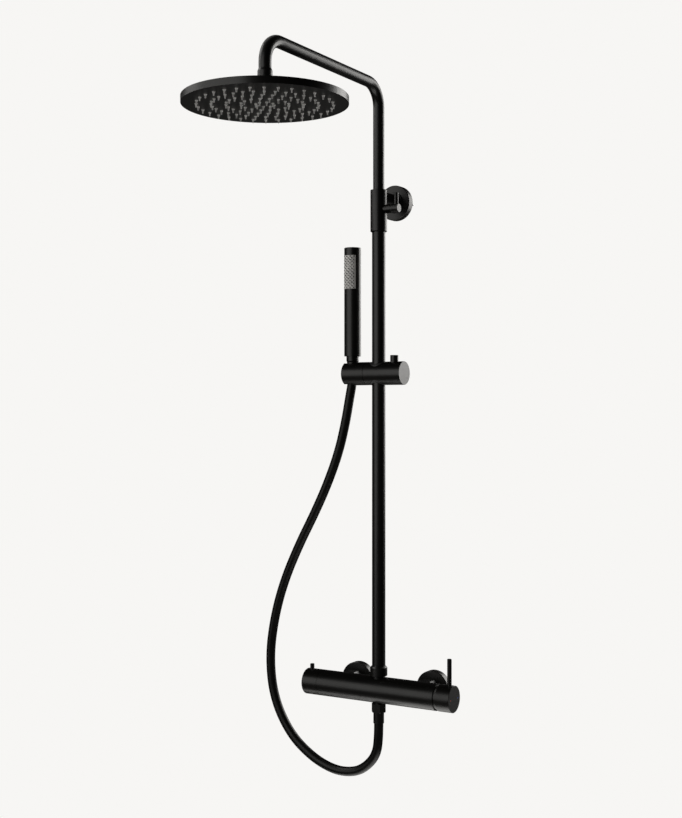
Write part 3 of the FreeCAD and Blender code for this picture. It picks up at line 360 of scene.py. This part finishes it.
HOLDER_EXIT_Z, SLIDER_EXIT_Z = 0.512, 0.468     # where the hose leaves each body
TOP_LOW, MIDDLE_LOW = below(HOLDER_EXIT_Z), below(SLIDER_EXIT_Z)
LAST = len(hose_line) - 1
nut_end, ferrule_end = hose_line[0], hose_line[LAST]
hang_top = hose_line[MIDDLE_LOW]
# rise moves the hanging length's far end up and to the left; hose_piece doesn't use it, so the
# length doesn't follow the slider
rise = (hang_top.z - hang_top.x - ferrule_end.z + ferrule_end.x) / 2
hose_top = hose_piece("hose_top", 0, TOP_LOW, hose_line[TOP_LOW], nut_end,
                      ("holder", "hose_nut"))
hose_middle = hose_piece("hose_middle", TOP_LOW, MIDDLE_LOW,
                         (0.0, COLUMN_Y, hang_top.z), (0.0, COLUMN_Y, hose_line[TOP_LOW].z),
                         ("slider", "holder"))
hose_run = hose_piece("hose_run", MIDDLE_LOW, LAST, ferrule_end,
                      ferrule_end + Vector((-rise, 0.0, rise)), ("root", "slider"), "hose")
tuple(ferrule_end)
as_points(hose_line[MIDDLE_LOW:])


# ---------------------------------------------------------------- rain head nozzles
NOZZLE_RINGS = [(14, 8), (36, 16), (58, 24), (80, 32), (102, 32)]     # radius and count
RAIN_NOZZLE = [
    (0, 1.7), (2.50, 1.7), (2.50, 0.1), (2.42, -0.25), (2.20, -0.60), (1.75, -1.30),
    (1.42, -2.00), (1.24, -2.70), (1.16, -3.40), (1.13, -5.00), (1.06, -5.42), (0.88, -5.60),
    (0.56, -5.60), (0.46, -5.45), (0.46, -4.20), (0, -4.20),
]
MAT = [(0, 1.6), (107.2, 1.6), (108.0, 2.0), (108.0, 2.9), (107.8, 3.1), (0, 3.1)]
MAT_STEPS, NOZZLE_STEPS = 96, 16


def in_metres(profile):
    return [(radius * MM, height * MM) for radius, height in profile]


build = bmesh.new()
lathe(build, in_metres(MAT), MAT_STEPS, at(0, HEAD_Y, HEAD_LOW))
for radius, count in NOZZLE_RINGS:
    for k in range(count):
        turn = 2 * math.pi * k / count
        lathe(build, in_metres(RAIN_NOZZLE), NOZZLE_STEPS, at(
            radius * MM * math.cos(turn), HEAD_Y + radius * MM * math.sin(turn), HEAD_LOW))
finished("rain_nozzles", build, "grey_silicone", "rain_head", "nozzle_mat")


# ---------------------------------------------------------------- handset plate
PLATE_LOW, PLATE_HIGH = 689.3, 747.6
PLATE_OUTER, PLATE_INNER = 14.25, 13.05
PLATE_HALF = 54.5
PLATE_ROWS, PLATE_COLUMNS = 10, 7
PLATE_PITCH, PLATE_STEP = 6.0, 12.0
LIP, LIP_DROP = 0.9, 0.45      # width of the rounded border, and its depth at the edge
ARC_STEP, HEIGHT_STEP = 3.0, 4.0
PLATE_NOZZLE = [
    (0, -0.50), (1.50, -0.50), (1.50, -0.10), (1.36, 0.15), (1.26, 0.45), (1.18, 0.85),
    (1.12, 1.00), (0, 1.00),
]
# PLATE_SHADE_TIP is painted shade: a black cap on each nozzle tip stands in for the dark,
# shadowed bore of a grey silicone nozzle
PLATE_SHADE_TIP = [(0, 0.90), (0.92, 0.90), (0.92, 1.42), (0.80, 1.60), (0, 1.60)]
PLATE_NOZZLE_STEPS = 14


def stations(low, high, step, lip):
    """Even stations from low to high, closer together within a border at each end."""
    border = [0.0, 0.12 * lip, 0.35 * lip, 0.65 * lip, lip]
    count = max(1, round((high - low - 2 * lip) / step))
    inside = [low + lip + (high - low - 2 * lip) * k / count for k in range(1, count)]
    return [low + b for b in border] + inside + [high - b for b in reversed(border)]


def rounded_drop(distance):
    """How far the skin lies below its face at a distance from its border."""
    share = max(0.0, 1.0 - distance / LIP)
    return LIP_DROP * (1.0 - math.sqrt(1.0 - share * share))


def around_handset(radius, angle, height):
    turn = math.radians(angle - 90.0)
    return Vector((HANDSET_X + radius * MM * math.cos(turn),
                   COLUMN_Y + radius * MM * math.sin(turn), height * MM))


build = bmesh.new()
# the black tip caps are painted shade, put where the nozzle bores lie in shadow
shade_tips = bmesh.new()
arc_lip = math.degrees(LIP / PLATE_OUTER)
angles = stations(-PLATE_HALF, PLATE_HALF, ARC_STEP, arc_lip)
heights = stations(PLATE_LOW, PLATE_HIGH, HEIGHT_STEP, LIP)
outer, inner = [], []
for height in heights:
    outer_row, inner_row = [], []
    for angle in angles:
        gap = min(math.radians(PLATE_HALF - abs(angle)) * PLATE_OUTER,
                  height - PLATE_LOW, PLATE_HIGH - height)
        outer_row.append(build.verts.new(
            around_handset(PLATE_OUTER - rounded_drop(gap), angle, height)))
        inner_row.append(build.verts.new(around_handset(PLATE_INNER, angle, height)))
    outer.append(outer_row)
    inner.append(inner_row)
for sheet in (outer, inner):
    for low_row, high_row in zip(sheet, sheet[1:]):
        for k in range(len(angles) - 1):
            build.faces.new((low_row[k], low_row[k + 1], high_row[k + 1], high_row[k]))
borders = [
    ([row[0] for row in outer], [row[0] for row in inner]),
    ([row[-1] for row in outer], [row[-1] for row in inner]),
    (outer[0], inner[0]), (outer[-1], inner[-1]),
]
for first, second in borders:
    for k in range(len(first) - 1):
        build.faces.new((first[k], first[k + 1], second[k + 1], second[k]))
for column in range(PLATE_COLUMNS):
    angle = (column - (PLATE_COLUMNS - 1) / 2) * PLATE_STEP
    rows = PLATE_ROWS - column % 2
    for number in range(rows):
        height = (PLATE_LOW + PLATE_HIGH) / 2 + (number - (rows - 1) / 2) * PLATE_PITCH
        out = around_handset(1.0, angle, 0.0) - around_handset(0.0, angle, 0.0)
        turned = out.to_track_quat("Z", "Y").to_matrix().to_4x4()
        root = Matrix.Translation(around_handset(PLATE_OUTER, angle, height)) @ turned
        lathe(build, in_metres(PLATE_NOZZLE), PLATE_NOZZLE_STEPS, root)
        lathe(shade_tips, in_metres(PLATE_SHADE_TIP), PLATE_NOZZLE_STEPS, root)
finished("handset_nozzles", build, "grey_silicone", "handset", "handset_plate")
# painted shade: black caps on the nozzle tips, in place of the shadow in their bores
finished("handset_shade_tips", shade_tips, "black_rubber", "handset")


# ---------------------------------------------------------------- threads and spring
def threaded(build, outline, steps, matrix):
    """Add a closed ring-shaped body. outline holds (radius, height), or (function, height)
    where the radius changes round the turn, and its last ring joins its first."""
    rings = []
    for radius, height in outline:
        ring = []
        for k in range(steps):
            turn = 2 * math.pi * k / steps
            r = radius(turn, height) if callable(radius) else radius
            ring.append(build.verts.new(
                matrix @ Vector((r * MM * math.cos(turn), r * MM * math.sin(turn), height * MM))))
        rings.append(ring)
    for a, b in zip(rings, rings[1:] + rings[:1]):
        for k in range(steps):
            n = (k + 1) % steps
            build.faces.new((a[k], a[n], b[n], b[k]))


def ridge(major, depth, pitch, start, end):
    """Radius of a V thread whose ridges run out towards both of its ends."""
    def radius(turn, height):
        phase = (height / pitch - turn / (2 * math.pi)) % 1.0
        flank = min(1.0, 2.6 * abs(phase - 0.5))
        run_out = min(1.0, (height - start) / pitch, (end - height) / pitch)
        return major - depth * flank if run_out >= 1.0 else (
            major - depth + depth * (1.0 - flank) * max(0.0, run_out))
    return radius


G_HALF = (10.48, 1.16, 1.814)              # major radius, depth, pitch
UNION_FLANGE, UNION_BORE = 13.2, 7.0
UNION_FACE, UNION_STEP, UNION_END = -33.5, -4.0, 14.0
UNION_BEVEL, THREAD_ROWS, THREAD_STEPS = 0.5, 110, 48
for side, sign in (("left", -1), ("right", 1)):
    into_wall = at(sign * 0.075, 0, 0) @ Matrix.Rotation(math.radians(-90), 4, "X")
    coil = ridge(*G_HALF, UNION_STEP, UNION_END)
    outline = [
        (UNION_BORE, UNION_END),
        (UNION_BORE, UNION_FACE),
        (UNION_FLANGE - UNION_BEVEL, UNION_FACE),
        (UNION_FLANGE, UNION_FACE + UNION_BEVEL),
        (UNION_FLANGE, UNION_STEP - UNION_BEVEL),
        (UNION_FLANGE - UNION_BEVEL, UNION_STEP),
    ]
    outline += [
        (coil, UNION_STEP + (UNION_END - UNION_STEP) * k / THREAD_ROWS)
        for k in range(THREAD_ROWS + 1)
    ]
    build = bmesh.new()
    threaded(build, outline, THREAD_STEPS, into_wall)
    finished(f"inlet_thread_{side}", build, "matte_black", "root", f"inlet_union_{side}")

BRACKET_Z = 0.8425
SCREW_HALF = 0.017


def coil_points(radius, height_at, turns, per_turn):
    """Points along a helix: (turn angle, centre) with the height given by height_at."""
    for k in range(round(turns * per_turn) + 1):
        turn = 2 * math.pi * k / per_turn
        yield turn, Vector((radius * math.cos(turn), radius * math.sin(turn),
                            height_at(k / per_turn)))


def sweep(build, sections):
    """Join closed sections into a closed body."""
    rings = [[build.verts.new(point) for point in section] for section in sections]
    for a, b in zip(rings, rings[1:]):
        for k in range(len(a)):
            n = (k + 1) % len(a)
            build.faces.new((a[k], a[n], b[n], b[k]))
    build.faces.new(rings[0][::-1])
    build.faces.new(rings[-1])


WOOD_PITCH, WOOD_CORE, WOOD_CREST, WOOD_RISE = 1.5, 1.9, 2.5, 0.34
WOOD_START, WOOD_TURNS, WOOD_STEPS = 1.2, 15, 20
build = bmesh.new()
for sign in (-1, 1):
    into_wall = at(sign * SCREW_HALF, 0, BRACKET_Z) @ Matrix.Rotation(math.radians(-90), 4, "X")
    sections = []
    for turn, centre in coil_points(
            1.0, lambda t: WOOD_START + WOOD_PITCH * t, WOOD_TURNS, WOOD_STEPS):
        out = Vector((centre.x, centre.y, 0.0))
        share = min(1.0, turn / math.pi, (2 * math.pi * WOOD_TURNS - turn) / math.pi + 0.02)
        crest = WOOD_CORE + (WOOD_CREST - WOOD_CORE) * max(0.1, share)
        sections.append([into_wall @ (point * MM) for point in (
            out * WOOD_CORE + Vector((0, 0, centre.z - WOOD_RISE)),
            out * crest + Vector((0, 0, centre.z)),
            out * WOOD_CORE + Vector((0, 0, centre.z + WOOD_RISE)),
        )])
    sweep(build, sections)
finished("wall_screw_threads", build, "steel", "root")

BUTTON_X = 0.0305
SPRING_LOW, SPRING_HIGH = 0.5265, 0.5335
SPRING_RADIUS, SPRING_WIRE = 0.005, 0.0004
SPRING_TURNS = 5.0
SPRING_FLAT = 0.9              # flat turns at each end
SPRING_STEPS, WIRE_SIDES = 28, 8


def spring_height(t):
    low, high = SPRING_LOW + SPRING_WIRE, SPRING_HIGH - SPRING_WIRE
    share = min(1.0, max(0.0, (t - SPRING_FLAT) / (SPRING_TURNS - 2 * SPRING_FLAT)))
    return low + (high - low) * share


build = bmesh.new()
sections = []
for turn, centre in coil_points(SPRING_RADIUS, spring_height, SPRING_TURNS, SPRING_STEPS):
    out = Vector((math.cos(turn), math.sin(turn), 0.0))
    axis = Vector((BUTTON_X, COLUMN_Y, 0.0))
    sections.append([
        axis + centre + SPRING_WIRE * (math.cos(a) * out + math.sin(a) * Vector((0, 0, 1)))
        for a in (2 * math.pi * n / WIRE_SIDES for n in range(WIRE_SIDES))
    ])
sweep(build, sections)
spring = finished("button_coil", build, "steel", "slider", "button_spring")
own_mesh(spring)


# ---------------------------------------------------------------- stage, light and camera
def softbox(name, where, towards, width, height, radiance, colour=(1.0, 1.0, 1.0)):
    """A rectangular light that the camera doesn't see."""
    data = bpy.data.lights.new(name, "AREA")
    data.shape = "RECTANGLE"
    data.size, data.size_y = width, height
    data.energy = radiance * math.pi * width * height
    data.color = colour
    lamp = bpy.data.objects.new(name, data)
    lamp.location = where
    lamp.rotation_mode = "QUATERNION"
    lamp.rotation_quaternion = (Vector(towards) - Vector(where)).to_track_quat("-Z", "Z")
    lamp.visible_camera = False
    bpy.context.scene.collection.objects.link(lamp)
    return lamp


def link(lamp, state, *nodes):
    """Keep a lamp off some CAD nodes, as a flag on a stand does, or let it reach only them."""
    linked = bpy.data.collections.new(lamp.name + "_linked")
    for node in nodes:
        linked.objects.link(frame["nodes"][node])
    for entry in linked.collection_objects:
        entry.light_linking.link_state = state
    lamp.light_linking.receiver_collection = linked


PAPER = (0.930, 0.9216, 0.9047)
FLOOR_Z, FLOOR_HALF = -1.0, 12.0
BACKDROP_RADIUS = 30.0


def paper_material(name, colour):
    """Evenly lit studio paper."""
    material = bpy.data.materials.new(name)
    material.use_nodes = True
    tree = material.node_tree
    tree.nodes.clear()
    out = tree.nodes.new("ShaderNodeOutputMaterial")
    glow = tree.nodes.new("ShaderNodeEmission")
    glow.inputs["Color"].default_value = (*colour, 1.0)
    glow.inputs["Strength"].default_value = 1.0
    tree.links.new(glow.outputs["Emission"], out.inputs["Surface"])
    return material


def stage_piece(name, build):
    """A floor or backdrop that only the camera sees."""
    mesh = bpy.data.meshes.new(name)
    build.to_mesh(mesh)
    build.free()
    mesh.materials.append(paper_material(name + "_paper", PAPER))
    thing = bpy.data.objects.new(name, mesh)
    for rays in ("diffuse", "glossy", "transmission", "volume_scatter", "shadow"):
        setattr(thing, "visible_" + rays, False)
    bpy.context.scene.collection.objects.link(thing)


build = bmesh.new()
bmesh.ops.create_grid(
    build, x_segments=1, y_segments=1, size=FLOOR_HALF, matrix=at(0, 0, FLOOR_Z))
stage_piece("floor", build)
build = bmesh.new()
bmesh.ops.create_uvsphere(build, u_segments=48, v_segments=24, radius=BACKDROP_RADIUS)
stage_piece("backdrop", build)

WARM = (1.0, 0.985, 0.955)
COLUMN_MIDDLE = (0.0, COLUMN_Y, 0.5)
HEAD_MIDDLE = (0.0, HEAD_Y, HEAD_LOW)
softbox("key", (-1.10, -2.95, 1.10), COLUMN_MIDDLE, 3.4, 2.7, 1.20, WARM)
left = softbox("left", (-1.65, -0.75, 1.95), HEAD_MIDDLE, 1.3, 1.3, 2.5, WARM)
under = softbox("under", (0.1, 0.0, -1.3), (0.0, COLUMN_Y, 0.0), 1.6, 2.1, 2.1, WARM)
softbox("behind", (-2.0, 2.9, 0.05), HEAD_MIDDLE, 2.4, 1.0, 0.035, WARM)
softbox("low", (1.75, 2.9, -0.65), (0.0, COLUMN_Y, 0.0), 1.2, 0.9, 0.32, WARM)
rim = softbox("rim", (1.10, 2.75, 1.22), (0.0, COLUMN_Y, 0.9), 2.0, 2.0, 4.6, WARM)
above = softbox("above", (-1.7, 0.5, 3.1), HEAD_MIDDLE, 2.4, 2.4, 0.6, WARM)
link(rim, "EXCLUDE", "bracket_standoff")
link(left, "EXCLUDE", "mixer_body", "mixer_cap", "diverter_knob", "slider_body", "holder_head")
link(under, "EXCLUDE", "bracket_sleeve")
link(above, "INCLUDE", "shower_arm", "ball_stem")

WORLD_STRENGTH = 0.012
CAMERA_AT, CAMERA_TURN, LENS = (1.0769, -1.9785, 0.4815), 31.086, 56.25

scene = bpy.context.scene
world = bpy.data.worlds.new("studio")
world.use_nodes = True
world.node_tree.nodes["Background"].inputs["Color"].default_value = (1.0, 0.99, 0.97, 1.0)
world.node_tree.nodes["Background"].inputs["Strength"].default_value = WORLD_STRENGTH
scene.world = world
scene.view_settings.view_transform = "Standard"
scene.view_settings.look = "None"

camera_data = bpy.data.cameras.new("camera")
camera_data.sensor_width = 36.0
camera_data.sensor_fit = "AUTO"
camera_data.lens = LENS
camera_data.clip_start, camera_data.clip_end = 0.05, 100.0
camera = bpy.data.objects.new("camera", camera_data)
camera.location = CAMERA_AT
camera.rotation_euler = (math.radians(90.0), 0.0, math.radians(CAMERA_TURN))
scene.collection.objects.link(camera)
scene.camera = camera
